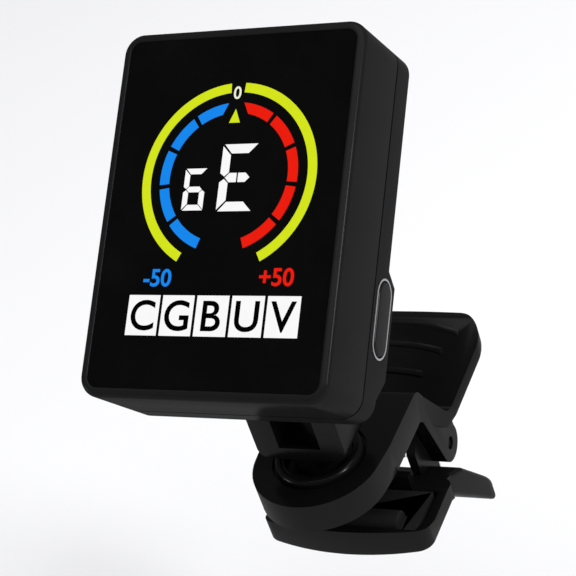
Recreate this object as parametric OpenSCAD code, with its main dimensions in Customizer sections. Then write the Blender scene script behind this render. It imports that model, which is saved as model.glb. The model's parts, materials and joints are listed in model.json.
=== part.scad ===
// Clip-on instrument tuner. Millimetres, +Z up along the swivel axis.
// The origin is where the swivel axis meets the face of the upper jaw's rubber pad,
// which lies on the instrument's headstock. X is across the clip, Y runs back to the handles.

/* [Head] */
// Width of the head's case
head_w = 40.6; // [36:0.2:46]
// Height of the head's case
head_h = 56; // [52:0.5:60]
// Depth of the case above the bulge, from the glass
head_d = 16; // [15.5:0.1:17]
// Depth from the glass to the back of the bulge
bulge_d = 18.6; // [18.2:0.1:19.5]
// Depth from the glass to the seam between the two shells
seam_d = 11.5; // [11:0.1:12]
// Outer corner radius of the case
corner_r = 3.2; // [2:0.1:4]
// Wall thickness of the shells
wall = 1.5; // [1.2:0.1:1.8]
// Width of the glass
glass_w = 37.8; // [34:0.1:38]
// Height of the glass
glass_h = 53.2; // [49:0.1:53.4]
// Angle that the head leans back from the swivel axis
head_lean = 52; // [0:1:90]

/* [Side button] */
// Length of the button's ring
ring_l = 12.1; // [10:0.1:13]
// Width of the button's ring
ring_w = 5; // [4.4:0.1:5.2]
// How far the button travels inward
button_travel = 0.5; // [0.3:0.05:0.5]

/* [Neck] */
// Height of the tilt hinge above the pad face
tilt_z = 27.5; // [26:0.5:32]
// Width across the fork's arms
fork_w = 15.5; // [14:0.1:17]
// Front to back size of the fork
fork_d = 9; // [8:0.1:10]
// Width of the slot between the arms
slot_w = 7.3; // [7.1:0.1:8]
// Radius of the neck's round foot
foot_r = 4.2; // [3.6:0.1:4.6]
// Radius of the tilt pin
tilt_pin_r = 1.5; // [1.2:0.1:1.8]

/* [Clip] */
// Half the width of the upper jaw
disc_r = 11.3; // [11.2:0.1:12]
// Radius of the upper jaw's round nose
nose_r = 10.9; // [10.6:0.1:11.2]
// Height of the disc's flat top above the pad face
deck_z = 6.5; // [6.3:0.1:7]
// Thickness of the upper rubber pad
pad_t = 1.2; // [0.8:0.1:1.3]
// Distance from the swivel axis back to the jaw's pivot
pivot_y = 22.1; // [21:0.1:23]
// Depth of the jaw's pivot below the pad face
pivot_drop = 10.5; // [10:0.1:11]
// Radius of the pivot pin
pivot_r = 1.15; // [1:0.05:1.4]
// Half the width of the upper paddle at its end
paddle_hw = 16; // [14:0.5:17]
// Half the width of the lower jaw's tray
tray_hw = 14.9; // [14.5:0.1:15.5]

/* [Hidden] */
$fn = 64;
eps = 0.01;
pivot_z = -pivot_drop;
run_gap = 0.05;         // radial clearance of a pin in its bore
pin_n = 24.3;           // the tilt axis in the head's frame, behind the glass
pin_v = -16.5;          // and below the glass's centre
lip = 0.15;             // how far the case stands proud of the glass
lug_w = slot_w - 1;     // the head's hinge lug between the fork's arms
lug_r = 4.2;
glass_t = 1;
glass_corner_r = 1.7;
board_n = 6.5;          // front face of the main board, from the glass
board_t = 1;
side_x = head_w / 2;
inner_x = side_x - wall;
button_v = -12.6;       // centre of the side button
button_n = 15.1;
ring_line = 0.3;
flange_t = 0.6;
hump_top = -7.2;        // where the bulge reaches its full depth, above and below
hump_bottom = -21.2;
screw_x = 16.6;
screw_v = 24.9;
boss_r = 2.1;
deck_t = 1.8;
cavity_r = 9.4;
nose_y = -0.9;          // centre of the nose, ahead of the swivel axis
pad_back = 8.9;
jaw_under = pad_t;      // underside of the upper jaw's plate
ear_t = 2.3;
ear_x = disc_r - ear_t;
knuckle_x = ear_x - 0.3;
knuckle_t = 1.6;
window_hw = knuckle_x - knuckle_t;
window_back = 20.5;
tray_floor = -12.5;
tray_front = -3.4;
tray_back = 10.5;
tray_t = 1.3;
fork_bottom = 9.7;
slot_floor = 12.1;
coil_r = 3.1;
wire_r = 0.55;
coil_pitch = 1.9;
coil_turns = 6;

// ---- shared shapes ----

// Moves a shape from the head's own frame (x right, y back from the glass, z up) to its place
module in_head() {
    translate([0, 0, tilt_z])
        rotate([-head_lean, 0, 0])
            translate([0, -pin_n, -pin_v])
                children();
}

// Rectangle with round corners, centred
module round_rect(w, h, r) {
    square([w - 2 * r, h], center = true);
    square([w, h - 2 * r], center = true);
    for (sx = [-1, 1], sy = [-1, 1])
        translate([sx * (w / 2 - r), sy * (h / 2 - r)])
            circle(r);
}

// Upright plate in the head's frame, from depth n0 to depth n1
module head_plate(w, h, r, n0, n1) {
    translate([0, n1, 0])
        rotate([90, 0, 0])
            linear_extrude(n1 - n0)
                round_rect(w, h, r);
}

// Block in the head's frame, given by its middle across and up and its depths
module head_block(x, v, w, h, n0, n1) {
    translate([x - w / 2, n0, v - h / 2])
        cube([w, n1 - n0, h]);
}

// Rod along the head's depth
module head_rod(x, v, r, n0, n1) {
    translate([x, n0, v])
        rotate([-90, 0, 0])
            cylinder(h = n1 - n0, r = r);
}

// Rod along X
module cross_rod(r, x0, x1) {
    translate([x0, 0, 0])
        rotate([0, 90, 0])
            cylinder(h = x1 - x0, r = r);
}

// Pill-shaped rod along X, long the head's way up
module pill(l, w, x0, x1) {
    translate([x0, button_n, button_v]) {
        translate([0, -w / 2, -(l - w) / 2])
            cube([x1 - x0, w, l - w]);
        for (s = [-1, 1])
            translate([0, 0, s * (l - w) / 2])
                cross_rod(w / 2, 0, x1 - x0);
    }
}

// Extrudes an outline drawn in Y and Z across X, from x0 to x1
module side_slab(x0, x1) {
    translate([x0, 0, 0])
        rotate([90, 0, 90])
            linear_extrude(x1 - x0)
                children();
}

// Places something at each of the four case screws
module at_screws() {
    for (sx = [-1, 1], sv = [-1, 1])
        translate([sx * screw_x, 0, sv * screw_v])
            children();
}

// ---- head ----

module front_shell() {
    color("#232325")
        in_head() {
            difference() {
                head_plate(head_w, head_h, corner_r, -lip, seam_d);
                head_plate(glass_w, glass_h, glass_corner_r, -1, glass_t);
                head_plate(head_w - 5, head_h - 5, 1.5, 0, 2.2);
                head_plate(head_w - 2 * wall, head_h - 2 * wall, corner_r - wall, 2.2, seam_d + 1);
                head_block(-side_x, button_v, 6, 9.2, 7.4, 10.9);
            }
            for (sx = [-1, 1], sv = [-1, 1])
                difference() {
                    head_rod(sx * screw_x, sv * screw_v, boss_r, 2.2, seam_d);
                    head_rod(sx * screw_x, sv * screw_v, 0.9, 4, seam_d + 1);
                }
        }
}

// Outline of the rear cover across its depth and height, with the bulge behind its lower half
module rear_outline(inset) {
    half = head_h / 2 - inset;
    back = head_d - inset;
    hump = bulge_d - inset;
    polygon([
        [seam_d, -half], [back, -half],
        [back, hump_bottom - 3.2 + inset / 2], [hump, hump_bottom + inset / 2],
        [hump, hump_top - inset / 2], [back, hump_top + 2 - inset / 2],
        [back, half], [seam_d, half]
    ]);
}

module rear_cover() {
    color("#232325")
        in_head()
            difference() {
                union() {
                    intersection() {
                        side_slab(-side_x, side_x) rear_outline(0);
                        head_plate(head_w, head_h, corner_r, seam_d, bulge_d);
                    }
                    translate([0, pin_n, pin_v])
                        cross_rod(lug_r, -lug_w / 2, lug_w / 2);
                    head_block(0, pin_v, lug_w, 2 * lug_r, bulge_d - 1, pin_n);
                }
                intersection() {
                    side_slab(-inner_x, inner_x)
                        difference() {
                            rear_outline(wall);
                            translate([seam_d - 1, -head_h])
                                square([1, 2 * head_h]);
                        }
                    head_plate(head_w - 2 * wall, head_h - 2 * wall, corner_r - wall, seam_d - 1, bulge_d);
                }
                translate([0, pin_n, pin_v])
                    cross_rod(tilt_pin_r + run_gap, -lug_w, lug_w);
                at_screws() {
                    head_rod(0, 0, 1, seam_d - 1, head_d + 1);
                    head_rod(0, 0, 1.7, head_d - 1, head_d + 1);
                }
                pill(ring_l, ring_w, side_x - 0.9, side_x + 1);
                pill(ring_l - 2 * ring_line, ring_w - 2 * ring_line, inner_x - 1, side_x + 1);
            }
}

module screen_lens() {
    color("#08080a")
        in_head()
            head_plate(glass_w - 0.1, glass_h - 0.1, glass_corner_r, 0, glass_t);
}

module lcd_panel() {
    color("#101018")
        in_head()
            head_plate(33.2, 44.4, 0.5, glass_t + 0.05, 2.6);
}

module backlight_frame() {
    color("#e8e8e8")
        in_head()
            difference() {
                head_plate(35.2, 45.2, 0.8, 2.65, 5);
                head_plate(33.4, 43.8, 0.5, 2, 3.8);
            }
}

module display_ribbon() {
    color("#b5762a")
        in_head() {
            head_block(0, -24.6, 14, 0.2, 2, board_n - 0.2);
            head_block(0, -23.6, 14, 2.2, board_n - 0.2, board_n);
        }
}

module main_board() {
    color("#1c5a34")
        in_head()
            difference() {
                head_plate(36.4, 51.6, 1, board_n, board_n + board_t);
                at_screws() head_rod(0, 0, boss_r + 0.3, 0, seam_d);
            }
}

module control_chip() {
    color("#18181a")
        in_head()
            head_block(6, -12, 7, 7, board_n + board_t, board_n + board_t + 1);
}

module battery_cell() {
    color("#c8c8cc")
        in_head()
            head_plate_at(0, 8, 26, 30, 8.4, 12.6);
}

// Flat plate with round corners, off the head's middle
module head_plate_at(x, v, w, h, n0, n1) {
    translate([x, 0, v])
        head_plate(w, h, 1.2, n0, n1);
}

module charge_port() {
    color("#c0c0c4")
        in_head()
            difference() {
                head_block(-side_x + 4.2, button_v, 7.4, 8.9, board_n + board_t, 10.7);
                head_block(-side_x + 3.3, button_v, 6.2, 8.3, board_n + board_t + 0.4, 10.3);
            }
}

module switch_board() {
    color("#1c5a34")
        in_head()
            head_block(15.5, button_v, 1, 10, board_n + board_t, 16.8);
}

module tact_switch() {
    color("#b8b8bc")
        in_head()
            translate([0, button_n, button_v]) {
                translate([16, -2, -2.2])
                    cube([1.3, 4, 4.4]);
                cross_rod(0.9, 17.3, 17.5);
            }
}

module piezo_sensor() {
    color("#c9a24a")
        in_head()
            head_rod(0, -14.2, 5.8, 16.7, bulge_d - wall);
}

module button_ring() {
    color("#c4c6ca")
        in_head()
            difference() {
                pill(ring_l, ring_w, side_x - 0.9, side_x + 0.12);
                pill(ring_l - 2 * ring_line, ring_w - 2 * ring_line, side_x - 2, side_x + 1);
            }
}

module case_screws() {
    color("#6a6a6e")
        in_head()
            at_screws()
                difference() {
                    union() {
                        head_rod(0, 0, 0.9, 5, head_d - 0.9);
                        head_rod(0, 0, 1.6, head_d - 1, head_d - 0.15);
                    }
                    for (turn = [0, 90])
                        translate([0, head_d, 0])
                            rotate([0, turn, 0])
                                cube([2, 1, 0.4], center = true);
                }
}

module mode_button() {
    body_gap = ring_line + 0.15;
    color("#1a1a1c")
        in_head() {
            pill(ring_l - 2 * body_gap, ring_w - 2 * body_gap, inner_x - 0.15, side_x + 0.3);
            // the flange that keeps the button in, under the case's side wall
            translate([inner_x - 0.1 - flange_t, button_n - 3, button_v - 5])
                cube([flange_t, 4.6, 10]);
        }
}

// ---- neck ----

module neck_fork() {
    foot_corner = 2;
    color("#1c1c1e")
        difference() {
            union() {
                // arms and lower block, with round lower corners
                intersection() {
                    translate([-fork_w / 2, -fork_d / 2, fork_bottom])
                        cube([fork_w, fork_d, tilt_z - fork_bottom]);
                    rotate([90, 0, 0])
                        linear_extrude(fork_d, center = true)
                            union() {
                                translate([0, fork_bottom + foot_corner + 20])
                                    square([fork_w, 40], center = true);
                                translate([0, fork_bottom + 20])
                                    square([fork_w - 2 * foot_corner, 40], center = true);
                                for (s = [-1, 1])
                                    translate([s * (fork_w / 2 - foot_corner), fork_bottom + foot_corner])
                                        circle(foot_corner);
                            }
                }
                translate([0, 0, tilt_z])
                    cross_rod(fork_d / 2, -fork_w / 2, fork_w / 2);
                translate([0, 0, deck_z - deck_t - run_gap])
                    cylinder(h = slot_floor - deck_z, r = foot_r);
            }
            translate([-slot_w / 2, -fork_d, slot_floor])
                cube([slot_w, 2 * fork_d, 40]);
            translate([0, 0, tilt_z]) {
                cross_rod(tilt_pin_r, -fork_w, fork_w);
                cross_rod(2.6, fork_w / 2 - 1, fork_w);
            }
            translate([0, 0, -1])
                cylinder(h = slot_floor, r = 1.1);
        }
}

module tilt_pin() {
    color("#8a8c90")
        translate([0, 0, tilt_z]) {
            cross_rod(tilt_pin_r, -fork_w / 2 + 0.2, fork_w / 2 - 0.9);
            cross_rod(2.55, fork_w / 2 - 1, fork_w / 2 - 0.1);
        }
}

module tilt_washers() {
    washer_t = (slot_w - lug_w) / 2 - 0.1;
    color("#d8d8d0")
        for (s = [-1, 1])
            translate([s * (lug_w + slot_w) / 4, 0, tilt_z])
                difference() {
                    cross_rod(3.6, -washer_t / 2, washer_t / 2);
                    cross_rod(tilt_pin_r, -1, 1);
                }
}

module swivel_washer() {
    color("#a8aaae")
        translate([0, 0, deck_z - deck_t - run_gap - 0.5])
            difference() {
                cylinder(h = 0.5, r = 6.4);
                translate([0, 0, -1])
                    cylinder(h = 3, r = 1.1);
            }
}

module swivel_screw() {
    head_top = deck_z - deck_t - run_gap - 0.5;
    color("#8a8c90")
        difference() {
            union() {
                translate([0, 0, head_top - 1.1])
                    cylinder(h = 1.1, r = 2.8);
                translate([0, 0, head_top - eps])
                    cylinder(h = 6, r = 1.1);
            }
            for (turn = [0, 90])
                translate([0, 0, head_top - 1.1])
                    rotate([0, 0, turn])
                        cube([3.2, 0.6, 1], center = true);
        }
}

// ---- upper jaw and what is fixed to it ----

// Plan outline of the upper jaw: round disc, straight sides and the flared paddle
module jaw_plan() {
    end_y = 38;
    end_r = 4.5;
    hull() {
        translate([0, nose_y])
            circle(nose_r);
        translate([-disc_r, 3])
            square([2 * disc_r, 17]);
    }
    hull() {
        translate([-disc_r, 18])
            square([2 * disc_r, 1]);
        for (s = [-1, 1])
            translate([s * (paddle_hw - end_r), end_y - end_r])
                circle(end_r);
        translate([0, end_y - 9.4])
            circle(10);
    }
}

// Rounds an outline's outer corners
module soften(r) {
    offset(r)
        offset(delta = -r)
            children();
}

// A round spot in an outline, at p with radius r
module spot(p, r) {
    translate(p)
        circle(r);
}

// Side outline of the upper jaw's plate, rounded crest, valley and paddle
module jaw_side() {
    valley_r = 1.4;
    crest_r = 2.3;
    paddle_r = 1.1;
    crest = [15, deck_z - crest_r];
    valley = [21.4, -4.7];
    paddle_root = [23.33, -4.36];
    offset(-valley_r)
        offset(valley_r) {
            hull() {
                spot(crest, crest_r);
                translate([-disc_r - 4, jaw_under])
                    square([disc_r + 17.4, deck_z - jaw_under - crest_r]);
                translate([-disc_r - 4, deck_z - crest_r])
                    square([disc_r + 18, crest_r]);
            }
            hull() {
                spot(crest, crest_r);
                spot(valley, 1.2);
            }
            hull() {
                spot(valley, 1.2);
                spot(paddle_root, paddle_r);
            }
            hull() {
                spot(paddle_root, paddle_r);
                spot([37.8, 4.22], paddle_r);
            }
        }
}

// Side outline of the two cheeks that carry the pivot pin
module ear_outline() {
    difference() {
        union() {
            translate([pivot_y, pivot_z])
                circle(3.3);
            polygon([
                [14.6, 3.4], [14.9, 2.1], [18.9, pivot_z - 0.8], [pivot_y, pivot_z - 3.3],
                [pivot_y + 3.1, pivot_z - 1.1], [24.8, -3.6], [22.6, -3.6], [20.9, -2.8], [17.2, 3]
            ]);
        }
        translate([pivot_y, pivot_z])
            circle(pivot_r);
    }
}

// The paddle's slope, and how far up it and how wide each grip rib is
paddle_slope = atan2(8.9, 16.1);
rib_at = [15.7, 11.6, 6.7];
rib_hw = [12.2, 9.8, 6.9];

// Grip ribs, arcs that bow away from the clip, on the paddle's top face
module grip_ribs() {
    arc_r = 38;
    rib_h = 0.55;
    rib_w = 1;
    for (i = [0:2])
        translate([0, 22.8, -3.4])
            rotate([paddle_slope, 0, 0])
                translate([0, rib_at[i] - arc_r, -1])
                    intersection() {
                        difference() {
                            cylinder(h = 1 + rib_h, r = arc_r + rib_w / 2, $fn = 128);
                            translate([0, 0, -1])
                                cylinder(h = 4, r = arc_r - rib_w / 2, $fn = 128);
                        }
                        translate([-rib_hw[i], 0, 0])
                            cube([2 * rib_hw[i], 2 * arc_r, 3]);
                    }
}

module upper_jaw() {
    color("#1b1b1d")
        difference() {
            union() {
                intersection() {
                    side_slab(-paddle_hw, paddle_hw) jaw_side();
                    translate([0, 0, -20])
                        linear_extrude(40) jaw_plan();
                }
                for (s = [0, 1])
                    mirror([s, 0, 0])
                        side_slab(ear_x, disc_r) ear_outline();
                grip_ribs();
            }
            translate([0, 0, jaw_under - 1])
                cylinder(h = deck_z - deck_t - jaw_under + 1, r = cavity_r);
            cylinder(h = deck_z + 1, r = foot_r + run_gap);
            translate([0, 0, deck_z - 0.6]) {
                difference() {
                    cylinder(h = 2, r = 7.9);
                    translate([0, 0, -1])
                        cylinder(h = 4, r = 5.2);
                }
                cylinder(h = 2, r = 5.3);
            }
        }
}

// Round trim ring in the disc's top, round the neck's foot
module swivel_ring() {
    ridge_r = 6.5;
    color("#2a2a2d")
        rotate_extrude()
            translate([ridge_r, 0]) {
                translate([-0.9, deck_z - 0.6])
                    square([1.8, 0.8]);
                translate([0, deck_z + 0.2])
                    intersection() {
                        circle(0.9);
                        translate([-1, 0])
                            square([2, 1]);
                    }
            }
}

module disc_cover() {
    color("#151517")
        translate([0, 0, jaw_under])
            cylinder(h = 0.8, r = cavity_r - 0.05);
}

module upper_pad() {
    color("#2b2b2d")
        linear_extrude(pad_t) {
            circle(nose_r - 0.8);
            translate([0.8 - nose_r, 0])
                square([2 * nose_r - 1.6, pad_back]);
        }
}

module pivot_pin() {
    color("#5a5c60")
        translate([0, pivot_y, pivot_z])
            cross_rod(pivot_r, 0.5 - disc_r, disc_r - 0.5);
}

// Closed coil round the pivot pin and its leg up to the upper jaw
module jaw_spring() {
    color("#c8cace")
        translate([0, pivot_y, pivot_z]) {
            for (i = [0:coil_turns - 1])
                translate([(i - (coil_turns - 1) / 2) * coil_pitch, 0, 0])
                    rotate([0, 90, 0])
                        rotate_extrude()
                            translate([coil_r - wire_r, 0])
                                circle(wire_r, $fn = 16);
            coil_span = (coil_turns - 1) * coil_pitch;
            translate([0, coil_r - wire_r, 0])
                cross_rod(wire_r, -coil_span / 2, coil_span / 2);
            // the leg that presses up under the paddle
            translate([-coil_span / 2, 1.5, 2])
                rotate([-paddle_slope - 10, 0, 0])
                    cylinder(h = 4, r = wire_r, $fn = 16);
        }
}

// ---- lower jaw and what is fixed to it ----

// Side outline of the tray and the handle behind it
module lower_side() {
    offset(-1.2)
        offset(1.2)
            soften(1.2)
                polygon([
                    [tray_front - 3, tray_floor], [tray_back, tray_floor], [13.6, -14.4], [25.4, -26.9],
                    [28.2, -25.2], [18.4, -12.6], [14.4, -10.6], [tray_back, -9.7],
                    [3, -9.7], [tray_front, -7.3], [tray_front - 3, -7.3]
                ]);
}

// Plan outline of the tray, whose front edge is bowed, and of the flared handle
module lower_plan() {
    bow_r = 47;
    end_y = 28;
    waist_hw = 13;
    corner = 4;
    soften(2.8)
        intersection() {
            translate([-tray_hw, tray_front])
                square([2 * tray_hw, 17]);
            translate([0, tray_front + bow_r])
                circle(bow_r, $fn = 200);
        }
    hull() {
        translate([-waist_hw, 10])
            square([2 * waist_hw, 6]);
        for (s = [-1, 1])
            translate([s * (15.2 - corner), end_y - corner])
                circle(corner);
    }
}

// One of the two plates that rise from the handle to the pivot, with the closing stop at its top
module knuckle_outline() {
    knee = [18.6, -15.2];
    difference() {
        union() {
            translate([pivot_y, pivot_z])
                circle(2.9);
            polygon([
                [13.9, -12.4], [13.9, -6], [17, -2.25], [19, -4.7], [pivot_y + 1, pivot_z + 2.7],
                [pivot_y + 2.4, pivot_z - 1.6], [pivot_y, pivot_z - 2.9], knee
            ]);
        }
        translate([pivot_y, pivot_z])
            circle(pivot_r + run_gap);
    }
}

module lower_jaw() {
    rim = 1.5;
    throat_y = 9.4;
    color("#1b1b1d") {
        difference() {
            intersection() {
                side_slab(-16, 16) lower_side();
                translate([0, 0, -40])
                    linear_extrude(60) lower_plan();
            }
            // hollow of the tray
            translate([-tray_hw + rim, tray_front + rim + 0.9, tray_floor + tray_t])
                cube([2 * tray_hw - 2 * rim, throat_y - tray_front - rim - 0.9, 20]);
            // window under the spring
            translate([-window_hw, throat_y + 1.4, -40])
                cube([2 * window_hw, window_back - throat_y - 1.4, 60]);
        }
        translate([-knuckle_x, throat_y, tray_floor])
            cube([2 * knuckle_x, 1.4, 5.8]);
        for (s = [0, 1])
            mirror([s, 0, 0])
                side_slab(window_hw, knuckle_x) knuckle_outline();
    }
}

module lower_pad() {
    half = tray_hw - 2.2;
    ridge_hw = 10;
    color("#3a3a3c") {
        translate([-half, tray_front + 2.6, tray_floor + tray_t])
            cube([2 * half, 9.9, 1.9]);
        translate([0, tray_front + 4.4, -8.6])
            cross_rod(1.9, -ridge_hw, ridge_hw);
    }
}

// The coil's other leg, which bears on the lower handle
module spring_lower_leg() {
    leg_x = (window_hw + (coil_turns - 1) * coil_pitch / 2) / 2 + 0.2;
    color("#c8cace")
        translate([leg_x, pivot_y + coil_r - wire_r, -19.8])
            cylinder(h = 9.2, r = wire_r, $fn = 16);
}

front_shell();
rear_cover();
screen_lens();
lcd_panel();
backlight_frame();
display_ribbon();
main_board();
control_chip();
battery_cell();
charge_port();
switch_board();
tact_switch();
piezo_sensor();
button_ring();
case_screws();
mode_button();
neck_fork();
tilt_pin();
tilt_washers();
swivel_washer();
swivel_screw();
upper_jaw();
swivel_ring();
disc_cover();
upper_pad();
pivot_pin();
jaw_spring();
lower_jaw();
lower_pad();
spring_lower_leg();
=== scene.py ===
import json
import math
import bpy
from mathutils import Matrix, Vector


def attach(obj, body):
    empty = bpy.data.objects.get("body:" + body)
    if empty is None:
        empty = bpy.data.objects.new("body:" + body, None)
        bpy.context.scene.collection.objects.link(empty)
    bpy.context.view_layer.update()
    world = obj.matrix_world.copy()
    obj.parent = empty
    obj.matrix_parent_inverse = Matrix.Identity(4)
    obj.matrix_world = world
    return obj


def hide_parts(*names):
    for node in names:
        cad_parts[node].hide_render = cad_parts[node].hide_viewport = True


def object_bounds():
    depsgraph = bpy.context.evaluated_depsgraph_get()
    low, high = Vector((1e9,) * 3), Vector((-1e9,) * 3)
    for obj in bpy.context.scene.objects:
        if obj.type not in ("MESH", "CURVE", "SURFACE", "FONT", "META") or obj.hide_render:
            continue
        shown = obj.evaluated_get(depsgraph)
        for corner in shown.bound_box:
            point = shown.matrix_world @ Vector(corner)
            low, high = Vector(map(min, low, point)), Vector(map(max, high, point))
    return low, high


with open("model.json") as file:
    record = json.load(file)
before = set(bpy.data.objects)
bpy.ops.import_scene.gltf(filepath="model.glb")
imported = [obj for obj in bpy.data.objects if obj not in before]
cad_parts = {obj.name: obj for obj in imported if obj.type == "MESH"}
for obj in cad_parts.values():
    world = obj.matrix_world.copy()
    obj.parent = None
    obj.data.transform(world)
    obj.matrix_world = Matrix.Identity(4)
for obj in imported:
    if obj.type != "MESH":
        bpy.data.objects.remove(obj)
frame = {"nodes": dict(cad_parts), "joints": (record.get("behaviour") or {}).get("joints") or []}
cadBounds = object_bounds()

mm = 0.001
scene = bpy.context.scene
nodes = frame["nodes"]
joints = {joint["name"]: joint for joint in frame["joints"]}
print("frame loaded:", len(nodes), "nodes")

# ---- camera, floor and light ----

studio = {
    "cameraAt": (129.0, -188.7, 191.5),     # millimetres, in the frame of the clip
    "cameraRight": (0.8898, 0.36035, -0.28012),
    "cameraUp": (-0.00525, 0.62177, 0.78311),
    "lens": 114.06,
    "floorDrop": 55 * mm,
    "floorSize": 9.0,
    "worldGrey": (0.93, 0.93, 0.945),
    "worldStrength": 0.28,
}
lights = {
    "topLight": {"place": (0.5, -0.2, 2.2), "target": (0.5, -0.2, 0), "size": (2.5, 2.5), "power": 50},
    "edgeLight": {"place": (0.83, -0.14, 0.56), "target": (0, 0, 0.03), "size": (0.16, 0.3), "power": 5},
    "leftLight": {"place": (-1.0, -0.5, 0.05), "target": (0, 0, 0), "size": (0.3, 0.3), "power": 2},
}


def aimedMatrix(place, right, up):
    right = Vector(right).normalized()
    up = (Vector(up) - Vector(up).dot(right) * right).normalized()
    back = right.cross(up)
    turn = Matrix((right, up, back)).transposed().to_4x4()
    return Matrix.Translation(Vector(place)) @ turn


def lookingMatrix(place, target):
    aim = (Vector(target) - Vector(place)).normalized()
    turn = aim.to_track_quat("-Z", "Y").to_matrix().to_4x4()
    return Matrix.Translation(Vector(place)) @ turn


def makeCamera():
    bpy.ops.object.camera_add()
    camera = bpy.context.object
    camera.data.lens = studio["lens"]
    camera.data.sensor_width = 36
    camera.data.clip_start = 0.005
    place = Vector(studio["cameraAt"]) * mm
    camera.matrix_world = aimedMatrix(place, studio["cameraRight"], studio["cameraUp"])
    scene.camera = camera
    return camera


def softLight(name, place, target, size, power):
    bpy.ops.object.light_add(type="AREA")
    light = bpy.context.object
    light.name = name
    light.data.shape = "RECTANGLE"
    light.data.size = size[0]
    light.data.size_y = size[1]
    light.data.energy = power
    light.matrix_world = lookingMatrix(place, target)
    return light


# ---- selecting and shaping ----

def workOn(piece):
    for other in list(bpy.context.selected_objects):
        other.select_set(False)
    piece.select_set(True)
    bpy.context.view_layer.objects.active = piece


def editMode(kind="EDGE"):
    bpy.ops.object.mode_set(mode="EDIT")
    bpy.ops.mesh.select_mode(type=kind)


def objectMode():
    bpy.ops.object.mode_set(mode="OBJECT")


def clearSelection(mesh):
    for group in (mesh.vertices, mesh.edges, mesh.polygons):
        group.foreach_set("select", [False] * len(group))


def sharpEdges(mesh, least):
    # indices of the edges whose two faces meet at more than this many degrees
    sides = {}
    for face in mesh.polygons:
        for key in face.edge_keys:
            sides.setdefault(key, []).append(face.normal)
    limit = math.cos(math.radians(least))
    found = []
    for edge in mesh.edges:
        normals = sides.get(edge.key, [])
        if len(normals) == 2 and normals[0].dot(normals[1]) < limit:
            found.append(edge)
    return found


def roundEdges(piece, width, segments, wanted, least=25, profile=0.5, clamp=True):
    # bevels the sharp edges whose middles pass the wanted test
    mesh = piece.data
    clearSelection(mesh)
    for edge in sharpEdges(mesh, least):
        ends = [mesh.vertices[index].co for index in edge.vertices]
        if wanted((ends[0] + ends[1]) / 2):
            edge.select = True
    workOn(piece)
    editMode()
    bpy.ops.mesh.bevel(offset=width, segments=segments, profile=profile,
                       affect="EDGES", clamp_overlap=clamp)
    objectMode()


def mergedCopy(node, name, place=Matrix.Identity(4)):
    # a copy of a CAD node, joined up and cleared of flat triangles, in the piece's own frame
    piece = nodes[node].copy()
    piece.data = nodes[node].data.copy()
    for key in list(piece.keys()):
        del piece[key]
    piece.name = name
    piece.parent = None
    piece.hide_render = False
    scene.collection.objects.link(piece)
    piece.data.materials.clear()
    piece.data.transform(place.inverted())
    workOn(piece)
    editMode()
    bpy.ops.mesh.select_all(action="SELECT")
    bpy.ops.mesh.customdata_custom_splitnormals_clear()
    bpy.ops.mesh.remove_doubles(threshold=0.003 * mm)
    bpy.ops.mesh.dissolve_limited(angle_limit=math.radians(1))
    objectMode()
    return piece


def finishPiece(piece, name, body, finish, replaced=(), place=Matrix.Identity(4), smooth=35):
    piece.data.transform(place @ piece.matrix_world)
    piece.matrix_world = Matrix.Identity(4)
    piece.name = name
    workOn(piece)
    bpy.ops.object.shade_smooth_by_angle(angle=math.radians(smooth))
    piece.data.materials.clear()
    piece.data.materials.append(finish)
    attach(piece, body)
    if replaced:
        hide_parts(*replaced)
    return piece


# ---- finishes ----

class Wire:
    # a shader socket that can be added, multiplied and so on
    def __init__(self, finish, socket):
        self.finish = finish
        self.socket = socket

    def maths(self, operation, other, swapped=False):
        pair = (other, self) if swapped else (self, other)
        return self.finish.add("ShaderNodeMath", {"operation": operation}, pair)

    def __add__(self, other):
        return self.maths("ADD", other)

    __radd__ = __add__

    def __sub__(self, other):
        return self.maths("SUBTRACT", other)

    def __rsub__(self, other):
        return self.maths("SUBTRACT", other, True)

    def __mul__(self, other):
        return self.maths("MULTIPLY", other)

    __rmul__ = __mul__


class Finish:
    def __init__(self, name, colour, roughness, **constants):
        self.material = bpy.data.materials.new(name)
        self.material.use_nodes = True
        self.tree = self.material.node_tree
        self.shader = self.tree.nodes["Principled BSDF"]
        self.shader.inputs["Base Color"].default_value = (*colour, 1)
        self.shader.inputs["Roughness"].default_value = roughness
        for socket, value in constants.items():
            self.shader.inputs[socket.replace("_", " ")].default_value = value
        self.place = self.add("ShaderNodeTexCoord", {}, (), "Object")

    def add(self, kind, settings, values, output=0):
        node = self.tree.nodes.new(kind)
        for key, value in settings.items():
            if key == "stops":
                for stop, (where, shade) in zip(node.color_ramp.elements, value):
                    stop.position = where
                    stop.color = (shade, shade, shade, 1)
            else:
                setattr(node, key, value)
        pairs = values.items() if isinstance(values, dict) else enumerate(values)
        for key, value in pairs:
            if isinstance(value, Wire):
                self.tree.links.new(value.socket, node.inputs[key])
            else:
                node.inputs[key].default_value = value
        return Wire(self, node.outputs[output])

    def feed(self, socket, wire):
        self.tree.links.new(wire.socket, self.shader.inputs[socket])

    def noise(self, scale, detail=2, roughness=0.5):
        inputs = {"Vector": self.place, "Scale": scale, "Detail": detail, "Roughness": roughness}
        return self.add("ShaderNodeTexNoise", {}, inputs, "Fac")

    def ramp(self, wire, low, high):
        return self.add("ShaderNodeValToRGB", {"stops": ((low, 0), (high, 1))}, {"Fac": wire})

    def blend(self, wire, first, second):
        inputs = {0: wire, 6: (*first, 1), 7: (*second, 1)}
        return self.add("ShaderNodeMix", {"data_type": "RGBA"}, inputs, 2)

    def relief(self, wire, depth, strength=1.0):
        inputs = {"Height": wire, "Distance": depth, "Strength": strength}
        self.feed("Normal", self.add("ShaderNodeBump", {}, inputs, "Normal"))


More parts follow.
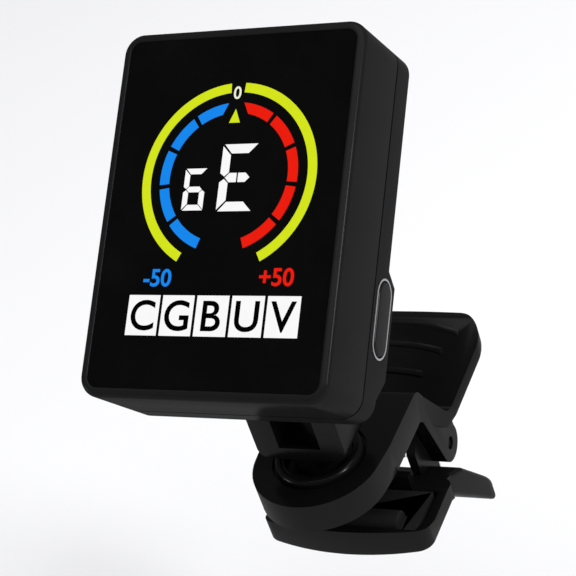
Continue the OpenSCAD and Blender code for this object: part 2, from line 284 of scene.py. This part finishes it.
def mouldedPlastic(name, dark, light, roughness, grain, gloss=0.5):
    # moulded plastic with a fine spark-eroded grain, faint clouding and a few polished rubs
    finish = Finish(name, dark, roughness, Specular_IOR_Level=0.0,
                    Coat_Weight=gloss, Coat_Roughness=0.22)
    fine = finish.noise(grain, 3, 0.6)
    cloud = finish.noise(90, 2)
    rubs = finish.ramp(finish.noise(38, 4, 0.7), 0.56, 0.75)
    finish.feed("Base Color", finish.blend(cloud * 0.7 + fine * 0.3, dark, light))
    finish.feed("Roughness", roughness + cloud * 0.08 + fine * 0.06 - rubs * 0.05)
    finish.relief(fine, 0.02 * mm, 0.35)
    return finish.material


def metalFinish(name, dark, light, roughness):
    finish = Finish(name, dark, roughness, Metallic=1.0)
    drawn = finish.noise(2200, 2)
    stain = finish.noise(160, 3)
    finish.feed("Base Color", finish.blend(stain, dark, light))
    finish.feed("Roughness", roughness + drawn * 0.12)
    finish.relief(drawn, 0.004 * mm, 0.3)
    return finish.material


def glassFinish():
    # black cover glass with the faintest smears
    finish = Finish("coverGlass", (0.0016, 0.0016, 0.0018), 0.1, Specular_IOR_Level=0.06)
    smear = finish.ramp(finish.noise(55, 4, 0.65), 0.45, 0.8)
    finish.feed("Roughness", 0.09 + smear * 0.1)
    finish.feed("Base Color", finish.blend(smear, (0.0014, 0.0014, 0.0016), (0.0026, 0.0026, 0.0028)))
    return finish.material


def litInk(name, colour):
    # a lit figure of the display: its glow is a touch uneven, as behind a diffuser
    finish = Finish(name, (0.001, 0.001, 0.001), 0.3,
                    Emission_Strength=1.0, Specular_IOR_Level=0.0)
    patch = finish.noise(700, 1)
    faded = tuple(0.93 * part for part in colour)
    finish.feed("Emission Color", finish.blend(patch, faded, colour))
    return finish.material


def rubberFinish(name, dark, light):
    finish = Finish(name, dark, 0.75, Specular_IOR_Level=0.15)
    grain = finish.noise(3200, 3, 0.6)
    dust = finish.ramp(finish.noise(300, 5, 0.7), 0.5, 0.8)
    finish.feed("Base Color", finish.blend(dust * 0.6 + grain * 0.2, dark, light))
    finish.feed("Roughness", 0.68 + grain * 0.15)
    finish.relief(grain, 0.03 * mm, 0.5)
    return finish.material


def boardFinish():
    # green solder mask with copper runs showing through
    finish = Finish("solderMask", (0.01, 0.09, 0.03), 0.35)
    bricks = {"Vector": finish.place, "Scale": 900.0}
    runs = finish.add("ShaderNodeTexBrick", {"offset": 0.35}, bricks, "Fac")
    finish.feed("Base Color", finish.blend(runs, (0.008, 0.075, 0.028), (0.03, 0.16, 0.06)))
    finish.feed("Roughness", 0.32 + finish.noise(1500) * 0.1)
    finish.relief(runs, 0.02 * mm, 0.3)
    return finish.material


finishes = {
    "case": mouldedPlastic("casePlastic", (0.0072, 0.0072, 0.0074), (0.0115, 0.0115, 0.0118),
                           0.36, 5200, 0.08),
    "clip": mouldedPlastic("clipPlastic", (0.003, 0.003, 0.0032), (0.0055, 0.0055, 0.0058),
                           0.27, 6500, 0.22),
    "button": mouldedPlastic("buttonPlastic", (0.006, 0.006, 0.0064), (0.010, 0.010, 0.0105),
                             0.3, 9000, 0.2),
    "white": mouldedPlastic("whitePlastic", (0.72, 0.72, 0.7), (0.8, 0.8, 0.79), 0.4, 4000, 0.5),
    "ribbon": mouldedPlastic("ribbonFilm", (0.42, 0.2, 0.04), (0.5, 0.26, 0.06), 0.25, 3000, 0.5),
    "chip": mouldedPlastic("chipResin", (0.012, 0.012, 0.013), (0.02, 0.02, 0.022), 0.5, 7000, 0.3),
    "steel": metalFinish("plainSteel", (0.34, 0.34, 0.35), (0.5, 0.5, 0.52), 0.28),
    "ringMetal": metalFinish("ringMetal", (0.26, 0.26, 0.27), (0.36, 0.36, 0.37), 0.3),
    "dark": metalFinish("darkSteel", (0.03, 0.03, 0.032), (0.06, 0.06, 0.062), 0.4),
    "bright": metalFinish("brightWire", (0.62, 0.62, 0.64), (0.8, 0.8, 0.82), 0.14),
    "brass": metalFinish("brassDisc", (0.62, 0.42, 0.15), (0.75, 0.55, 0.24), 0.3),
    "foil": metalFinish("cellFoil", (0.55, 0.55, 0.57), (0.7, 0.7, 0.72), 0.32),
    "glass": glassFinish(),
    "board": boardFinish(),
    "rubber": rubberFinish("jawRubber", (0.006, 0.006, 0.0064), (0.013, 0.013, 0.0135)),
    "yellow": litInk("yellowLight", (0.68, 0.81, 0.012)),
    "blue": litInk("blueLight", (0.008, 0.25, 0.88)),
    "red": litInk("redLight", (0.86, 0.012, 0.004)),
    "whiteLight": litInk("whiteLight", (0.98, 0.98, 0.98)),
    "cream": litInk("creamLight", (0.9, 0.9, 0.72)),
    "ink": litInk("tileInk", (0.0, 0.0, 0.0)),
}
print("finishes made:", len(finishes))

plainNodes = {
    "screen_lens": "glass", "lcd_panel": "glass", "backlight_frame": "white", "display_ribbon": "ribbon",
    "main_board": "board", "control_chip": "chip", "battery_cell": "foil", "charge_port": "steel",
    "switch_board": "board", "tact_switch": "steel", "piezo_sensor": "brass", "button_ring": "ringMetal",
    "case_screws": "steel", "tilt_pin": "steel", "tilt_washers": "white", "swivel_washer": "steel",
    "swivel_screw": "steel", "disc_cover": "clip", "pivot_pin": "dark", "swivel_ring": "clip",
    "upper_pad": "rubber", "front_shell": "case", "rear_cover": "case", "mode_button": "button",
    "neck_fork": "clip", "upper_jaw": "clip", "lower_jaw": "clip", "lower_pad": "rubber",
    "jaw_spring": "bright", "spring_lower_leg": "bright",
}
for nodeName, finishName in plainNodes.items():
    nodes[nodeName].data.materials.clear()
    nodes[nodeName].data.materials.append(finishes[finishName])

# ---- the head's case ----

head = {
    "lean": 52,               # degrees, as it stands at rest
    "pinBehindGlass": 24.3,   # the tilt hinge, from the glass's centre
    "pinBelowGlass": 16.5,
    "frontRound": 1.0,
    "lipRound": 0.16,
    "seamRound": 0.1,
    "seamGroove": 0.32,
    "rearRound": 0.9,
    "lugRound": 0.5,
    "lugHalf": 3.15,
    "glassHalf": (18.9, 26.6),
    "seamHalf": (19.1, 26.9),     # the seam's outer edges lie outside this half width and height
    "seam": 11.5,
    "screwAt": (16.6, 24.9),
    "buttonAt": (15.1, -12.6),
}
tiltAt = Vector(joints["head_tilt"]["pos_m"])
headPlace = (
    Matrix.Translation(tiltAt)
    @ Matrix.Rotation(math.radians(-head["lean"]), 4, "X")
    @ Matrix.Translation((0, -head["pinBehindGlass"] * mm, head["pinBelowGlass"] * mm))
)


def outsideGlass(spot, margin=0.3):
    halfW, halfH = head["glassHalf"]
    return abs(spot.x) > (halfW + margin) * mm or abs(spot.z) > (halfH + margin) * mm


def onSeam(spot):
    halfW, halfH = head["seamHalf"]
    outside = abs(spot.x) > halfW * mm or abs(spot.z) > halfH * mm
    return abs(spot.y - head["seam"] * mm) < 0.01 * mm and outside


def makeFrontShell():
    shell = mergedCopy("front_shell", "frontShell", headPlace)
    roundEdges(shell, head["frontRound"] * mm, 6, lambda spot: spot.y < 0 and outsideGlass(spot))
    roundEdges(shell, head["lipRound"] * mm, 3, lambda spot: spot.y < 0 and not outsideGlass(spot), 60)
    roundEdges(shell, head["seamRound"] * mm, 3, onSeam, 60)
    finishPiece(shell, "frontShell", "head", finishes["case"], ("front_shell",), headPlace)


def makeRearCover():
    cover = mergedCopy("rear_cover", "rearCover", headPlace)
    buttonDepth, buttonHeight = head["buttonAt"]
    screwX, screwZ = head["screwAt"]

    def rearEdge(spot):
        x, depth, height = spot / mm
        nearButton = x > 18 and abs(height - buttonHeight) < 6.3 and abs(depth - buttonDepth) < 2.6
        nearScrew = math.hypot(abs(x) - screwX, abs(height) - screwZ) < 2.2
        nearLug = abs(x) < 3.4 and depth > 18.7
        lugRoot = abs(x) < 3.4 and -21.2 < height < -11.8
        cavityEdge = abs(x) < 18.9 and abs(depth - 17.1) < 0.3 or abs(abs(x) - 18.8) < 0.05
        inside = abs(x) < 19 and abs(height) < 26.6 and depth < 15.9 or cavityEdge
        return depth > 15.4 and not (nearButton or nearScrew or nearLug or lugRoot or inside)

    def lugEdge(spot):
        x, depth, height = spot / mm
        onLugSide = abs(abs(x) - head["lugHalf"]) < 0.02 and depth > 19.5
        return onLugSide and abs(height + head["pinBelowGlass"]) > 2.5

    roundEdges(cover, head["rearRound"] * mm, 5, rearEdge, 20)
    # a square rebate round the cover's front edge makes the dark line between the shells
    roundEdges(cover, head["seamGroove"] * mm, 2, onSeam, 60, 0.0)
    roundEdges(cover, head["lugRound"] * mm, 3, lugEdge, 60)
    finishPiece(cover, "rearCover", "head", finishes["case"], ("rear_cover",), headPlace)


makeFrontShell()
makeRearCover()
print("case made")

# ---- the display's lit figures ----

dial = {
    "centre": (0.55, 4.9),
    "front": -0.035,          # depth of the figures' faces, just proud of the glass
    "thick": 0.03,
    "ring": (12.9, 14.35, 4.8, 151.5),    # inner and outer radius, start and end angle from the top
    "blocks": (9.75, 11.35, 6.5, 160.0),
    "blockCount": 5,
    "blockGap": 3.6,
    "firstSlant": 6,          # degrees that the blocks' upper ends lean in
    "pointer": (2.1, 1.8),
    "tile": (5.25, 6.0, 5.72),            # width, height, pitch
    "tileRow": (0.65, -15.75),
    "modes": "CGBUV",
    "letterSize": 6.3,
    "letterWeight": 0.08,
    "letterRaised": 0.012,
}


def flatPiece(outline):
    # an upright thin plate from an outline across and up, facing the front
    bpy.ops.mesh.primitive_circle_add(vertices=len(outline), radius=mm, fill_type="NGON")
    piece = bpy.context.object
    for corner, (x, z) in zip(piece.data.vertices, outline):
        corner.co = (x * mm, (dial["front"] + dial["thick"]) * mm, z * mm)
    workOn(piece)
    editMode("FACE")
    bpy.ops.mesh.select_all(action="SELECT")
    bpy.ops.mesh.extrude_region_move(TRANSFORM_OT_translate={"value": (0, -dial["thick"] * mm, 0)})
    bpy.ops.mesh.select_all(action="SELECT")
    bpy.ops.mesh.normals_make_consistent(inside=False)
    objectMode()
    return piece


def joined(pieces, name):
    workOn(pieces[0])
    for piece in pieces[1:]:
        piece.select_set(True)
    if len(pieces) > 1:
        bpy.ops.object.join()
    pieces[0].name = name
    return pieces[0]


def arcOutline(inner, outer, start, end, slant=0.0):
    # part of a ring, with angles counted from the top towards +X; slant pulls in the start's inner end
    steps = max(4, int(abs(end - start) / 2.5))
    centreX, centreZ = dial["centre"]
    lean = math.copysign(slant, end - start)

    def spot(radius, angle):
        turn = math.radians(angle)
        return (centreX + radius * math.sin(turn), centreZ + radius * math.cos(turn))

    outside = [spot(outer, start + (end - start) * i / steps) for i in range(steps + 1)]
    first = start + lean
    inside = [spot(inner, first + (end - first) * i / steps) for i in range(steps + 1)]
    return outside + inside[::-1]


def showFigure(pieces, name, finishName):
    figure = joined(pieces, name)
    finishPiece(figure, name, "head", finishes[finishName], (), headPlace)


def makeDial():
    inner, outer, start, end = dial["ring"]
    ring = [flatPiece(arcOutline(inner, outer, side * start, side * end)) for side in (-1, 1)]
    centreX, centreZ = dial["centre"]
    tip = centreZ + dial["blocks"][1] - 1.0
    halfBase, tall = dial["pointer"][1] / 2, dial["pointer"][0]
    foot = tip - tall
    pointer = flatPiece([(centreX, tip), (centreX - halfBase, foot), (centreX + halfBase, foot)])
    showFigure(ring + [pointer], "dialRing", "yellow")
    inner, outer, start, end = dial["blocks"]
    pitch = (end - start) / dial["blockCount"]
    for side, name, finishName in ((-1, "flatBlocks", "blue"), (1, "sharpBlocks", "red")):
        blocks = []
        for i in range(dial["blockCount"]):
            low = start + i * pitch
            high = low + pitch - (dial["blockGap"] if i < dial["blockCount"] - 1 else 0)
            slant = dial["firstSlant"] if i == 0 else 0
            blocks.append(flatPiece(arcOutline(inner, outer, side * low, side * high, slant)))
        showFigure(blocks, name, finishName)


def segmentOutlines(x, z, width, height, stroke, wanted, splitMiddle=False):
    # seven-segment figure: x, z is its lower left corner
    gap = stroke * 0.09
    half = stroke / 2
    right, top, middle = x + width, z + height, z + height / 2
    bars = {
        "top": [(x + gap * 2, top), (right, top), (right - stroke, top - stroke),
                (x + stroke + gap, top - stroke)],
        "bottom": [(x + stroke + gap, z + stroke), (right - stroke, z + stroke),
                   (right, z), (x + gap * 2, z)],
        "upperLeft": [(x, top - gap * 2), (x + stroke, top - stroke - gap * 2),
                      (x + stroke, middle + half + gap), (x + half, middle + gap * 1.5), (x, middle + half)],
        "lowerLeft": [(x, middle - half), (x + half, middle - gap * 1.5), (x + stroke, middle - half - gap),
                      (x + stroke, z + stroke + gap * 2), (x, z + gap * 2)],
        "lowerRight": [(right - stroke, middle - half - gap), (right - half, middle - gap * 1.5),
                       (right, middle - half), (right, z + gap * 2), (right - stroke, z + stroke + gap * 2)],
    }
    centre = x + width / 2
    leftEnd, rightEnd = x + half + gap, right - half - gap
    if splitMiddle:
        bars["middle"] = [(leftEnd, middle), (leftEnd + half, middle + half), (centre - gap, middle + half),
                          (centre - gap, middle - half), (leftEnd + half, middle - half)]
        bars["middleEnd"] = [(centre + gap, middle + half), (rightEnd - half, middle + half),
                             (rightEnd, middle), (rightEnd - half, middle - half),
                             (centre + gap, middle - half)]
    else:
        bars["middle"] = [(leftEnd, middle), (leftEnd + half, middle + half),
                          (rightEnd - half, middle + half), (rightEnd, middle),
                          (rightEnd - half, middle - half), (leftEnd + half, middle - half)]
    return [bars[name] for name in wanted]


def makeNote():
    note = segmentOutlines(-0.75, -0.25, 5.7, 10.1, 1.4,
                           ("top", "upperLeft", "middle", "middleEnd", "lowerLeft", "bottom"), True)
    number = segmentOutlines(-6.6, -0.05, 3.55, 6.35, 0.85,
                             ("top", "upperLeft", "middle", "lowerLeft", "lowerRight", "bottom"))
    showFigure([flatPiece(outline) for outline in note + number], "noteFigures", "whiteLight")


def lettering(words, name, size, centre, finishName, weight, raised=0.0):
    bpy.ops.object.text_add()
    text = bpy.context.object
    text.data.body = words
    text.data.size = size
    text.data.align_x = "CENTER"
    text.data.align_y = "CENTER"
    text.data.offset = weight
    text.data.extrude = dial["thick"] / 2
    text.data.resolution_u = 6
    workOn(text)
    bpy.ops.object.convert(target="MESH")
    text = bpy.context.object
    depth = dial["front"] - raised
    bounds = [Vector(corner) for corner in text.bound_box]
    middle = (bounds[0] + bounds[6]) / 2
    upright = Matrix.Rotation(math.radians(90), 4, "X")
    spot = Matrix.Translation((centre[0], depth + dial["thick"] / 2, centre[1]))
    text.data.transform(Matrix.Scale(mm, 4) @ spot @ upright @ Matrix.Translation(-middle))
    editMode("FACE")
    bpy.ops.mesh.select_all(action="SELECT")
    bpy.ops.mesh.remove_doubles(threshold=0.001 * mm)
    bpy.ops.mesh.normals_make_consistent(inside=False)
    objectMode()
    finishPiece(text, name, "head", finishes[finishName], (), headPlace)


def makeTiles():
    width, height, pitch = dial["tile"]
    rowX, rowZ = dial["tileRow"]
    tiles = []
    for i, letter in enumerate(dial["modes"]):
        x = rowX + (i - 2) * pitch
        corners = [(-1, 1), (1, 1), (1, -1), (-1, -1)]
        tiles.append(flatPiece([(x + sx * width / 2, rowZ + sz * height / 2) for sx, sz in corners]))
        lettering(letter, "modeLetter" + letter, dial["letterSize"], (x, rowZ), "ink",
                  dial["letterWeight"], dial["letterRaised"])
    showFigure(tiles, "modeTiles", "whiteLight")


makeDial()
makeNote()
lettering("0", "dialZero", 2.7, (0.5, 17.75), "cream", 0.03)
lettering("-50", "dialFlat", 3.6, (-9.1, -10.15), "blue", 0.07)
lettering("+50", "dialSharp", 3.6, (10.4, -10.0), "red", 0.07)
makeTiles()
print("display made")

# ---- button ----

sideButton = {
    "edgeRound": 0.45,
    "faceX": 20.4,            # its outer edges lie past this
}


def makeButton():
    button = mergedCopy("mode_button", "sideButton", headPlace)
    roundEdges(button, sideButton["edgeRound"] * mm, 5, lambda spot: spot.x > sideButton["faceX"] * mm, 60)
    finishPiece(button, "sideButton", "button", finishes["button"],
                ("mode_button",), headPlace)


makeButton()

# ---- neck and clip ----

neck = {
    "edgeRound": 0.45,
    "foot": 9.6,              # height where the square neck starts
    "halfDepth": 4.3,
}


def makeNeck():
    fork = mergedCopy("neck_fork", "neckFork")

    def neckEdge(spot):
        x, y, z = spot / mm
        return z > neck["foot"] and abs(y) > neck["halfDepth"]

    roundEdges(fork, neck["edgeRound"] * mm, 4, neckEdge, 50)
    finishPiece(fork, "neckFork", "neck", finishes["clip"], ("neck_fork",))


clip = {
    "noseY": -0.9,
    "noseRound": 0.7,
    "deckEdge": 6.3,          # the deck's upper edges lie above this
    "padRound": 0.45,
    "cheekRound": 0.5,
    "cheekX": 11.1,
    "paddleRound": 0.75,
    "ribRound": 0.3,
    "paddleLine": (22.8, -3.4, 0.5528),
    "trayRound": 0.6,
    "handleRound": 0.8,
    "coilRadius": 2.55,       # to the middle of the wire
    "wireRadius": 0.55,
    "coilPitch": 1.9,
    "coilTurns": 5,
    "legTop": (1.5, 2.0, 39.0),
    "legLength": 4.0,
}
pivot = Vector(joints["jaw_open"]["pos_m"])


def makeUpperJaw():
    jaw = mergedCopy("upper_jaw", "upperJaw")

    def noseEdge(spot):
        x, y, z = spot / mm
        outside = max(math.hypot(x, y - clip["noseY"]), abs(x)) > 10.5
        return z > clip["deckEdge"] and y < 16.5 and outside

    def cheekEdge(spot):
        x, y, z = spot / mm
        fromPin = (spot - pivot).yz.length / mm
        return abs(x) > clip["cheekX"] and 3 < y < 23 and z < clip["deckEdge"] and fromPin > 2

    def paddleEdge(spot):
        x, y, z = spot / mm
        return y > 23.5 and z > -5.5 and abs(x) > 11.5 + (y - 23.5) * 0.22 and y < 37

    def ribEdge(spot):
        # the top edges of the grip ribs, which stand above the paddle's slope
        x, y, z = spot / mm
        startY, startZ, slope = clip["paddleLine"]
        above = z - (startZ + (y - startY) * slope)
        return y > 24 and abs(x) < 12.6 and above > 0.45

    roundEdges(jaw, clip["paddleRound"] * mm, 4, paddleEdge, 50)
    roundEdges(jaw, clip["ribRound"] * mm, 3, ribEdge, 50)
    roundEdges(jaw, clip["noseRound"] * mm, 5, noseEdge, 50)
    roundEdges(jaw, clip["cheekRound"] * mm, 4, cheekEdge, 50)
    finishPiece(jaw, "upperJaw", "clip", finishes["clip"], ("upper_jaw",), smooth=40)


def makeLowerJaw():
    jaw = mergedCopy("lower_jaw", "lowerJaw")

    def trayEdge(spot):
        x, y, z = spot / mm
        return (abs(x) > 13.2 or y < -1) and y < 10

    def handleEdge(spot):
        x, y, z = spot / mm
        return y > 14 and z < -11 and (abs(x) > 12 or y > 25)

    roundEdges(jaw, clip["trayRound"] * mm, 4, trayEdge, 50)
    roundEdges(jaw, clip["handleRound"] * mm, 4, handleEdge, 50, clamp=False)
    finishPiece(jaw, "lowerJaw", "lower_jaw", finishes["clip"], ("lower_jaw",), smooth=40)


def makeLowerPad():
    pad = mergedCopy("lower_pad", "lowerPad")
    roundEdges(pad, clip["padRound"] * mm, 4, lambda spot: spot.z > -10.5 * mm, 50)
    finishPiece(pad, "lowerPad", "lower_jaw", finishes["rubber"], ("lower_pad",))


def makeSpring():
    # the coil as one wire, wound about the jaw's pivot, with its upper leg
    radius, wire = clip["coilRadius"] * mm, clip["wireRadius"] * mm
    span = clip["coilPitch"] * clip["coilTurns"] * mm
    bpy.ops.mesh.primitive_circle_add(vertices=16, radius=wire, fill_type="NOTHING",
                                      location=(-span / 2, radius, 0))
    coil = bpy.context.object
    bpy.ops.object.transform_apply(location=True)
    bpy.ops.object.modifier_add(type="SCREW")
    screw = coil.modifiers[-1]
    screw.axis = "X"
    screw.screw_offset = clip["coilPitch"] * mm
    screw.iterations = clip["coilTurns"]
    screw.steps = screw.render_steps = 40
    screw.use_merge_vertices = True
    bpy.ops.object.modifier_apply(modifier=screw.name)
    editMode("VERT")
    bpy.ops.mesh.select_all(action="DESELECT")
    bpy.ops.mesh.select_non_manifold()
    bpy.ops.mesh.edge_face_add()
    bpy.ops.mesh.select_all(action="SELECT")
    bpy.ops.mesh.normals_make_consistent(inside=False)
    objectMode()
    legY, legZ, lean = clip["legTop"]
    turn = Matrix.Rotation(math.radians(-lean), 4, "X")
    bpy.ops.mesh.primitive_cylinder_add(vertices=16, radius=wire, depth=clip["legLength"] * mm)
    leg = bpy.context.object
    toFoot = Matrix.Translation((0, 0, clip["legLength"] / 2 * mm))
    leg.data.transform(Matrix.Translation((-span / 2, legY * mm, legZ * mm)) @ turn @ toFoot)
    spring = joined([coil, leg], "jawSpring")
    spring.data.transform(Matrix.Translation(pivot))
    finishPiece(spring, "jawSpring", "clip", finishes["bright"], ("jaw_spring",))


makeNeck()
makeUpperJaw()
makeLowerJaw()
makeLowerPad()
makeSpring()
print("neck and jaws made")

# ---- studio ----

makeCamera()
lowest = cadBounds[0][2]
bpy.ops.mesh.primitive_plane_add(size=studio["floorSize"], location=(0, 0, lowest - studio["floorDrop"]))
floor = bpy.context.object
floor.name = "floor"
floorFinish = Finish("paleFloor", (0.93, 0.93, 0.945), 0.9, Specular_IOR_Level=0.0)
floorCloud = floorFinish.noise(3, 2)
floorFinish.feed("Base Color", floorFinish.blend(floorCloud, (0.89, 0.89, 0.902), (0.894, 0.894, 0.906)))
floor.data.materials.append(floorFinish.material)

world = bpy.data.worlds.new("studioWorld")
scene.world = world
world.use_nodes = True
background = world.node_tree.nodes["Background"]
background.inputs["Color"].default_value = (*studio["worldGrey"], 1)
background.inputs["Strength"].default_value = studio["worldStrength"]
scene.view_settings.view_transform = "Standard"

for lightName, settings in lights.items():
    softLight(lightName, **settings)
print("studio made")
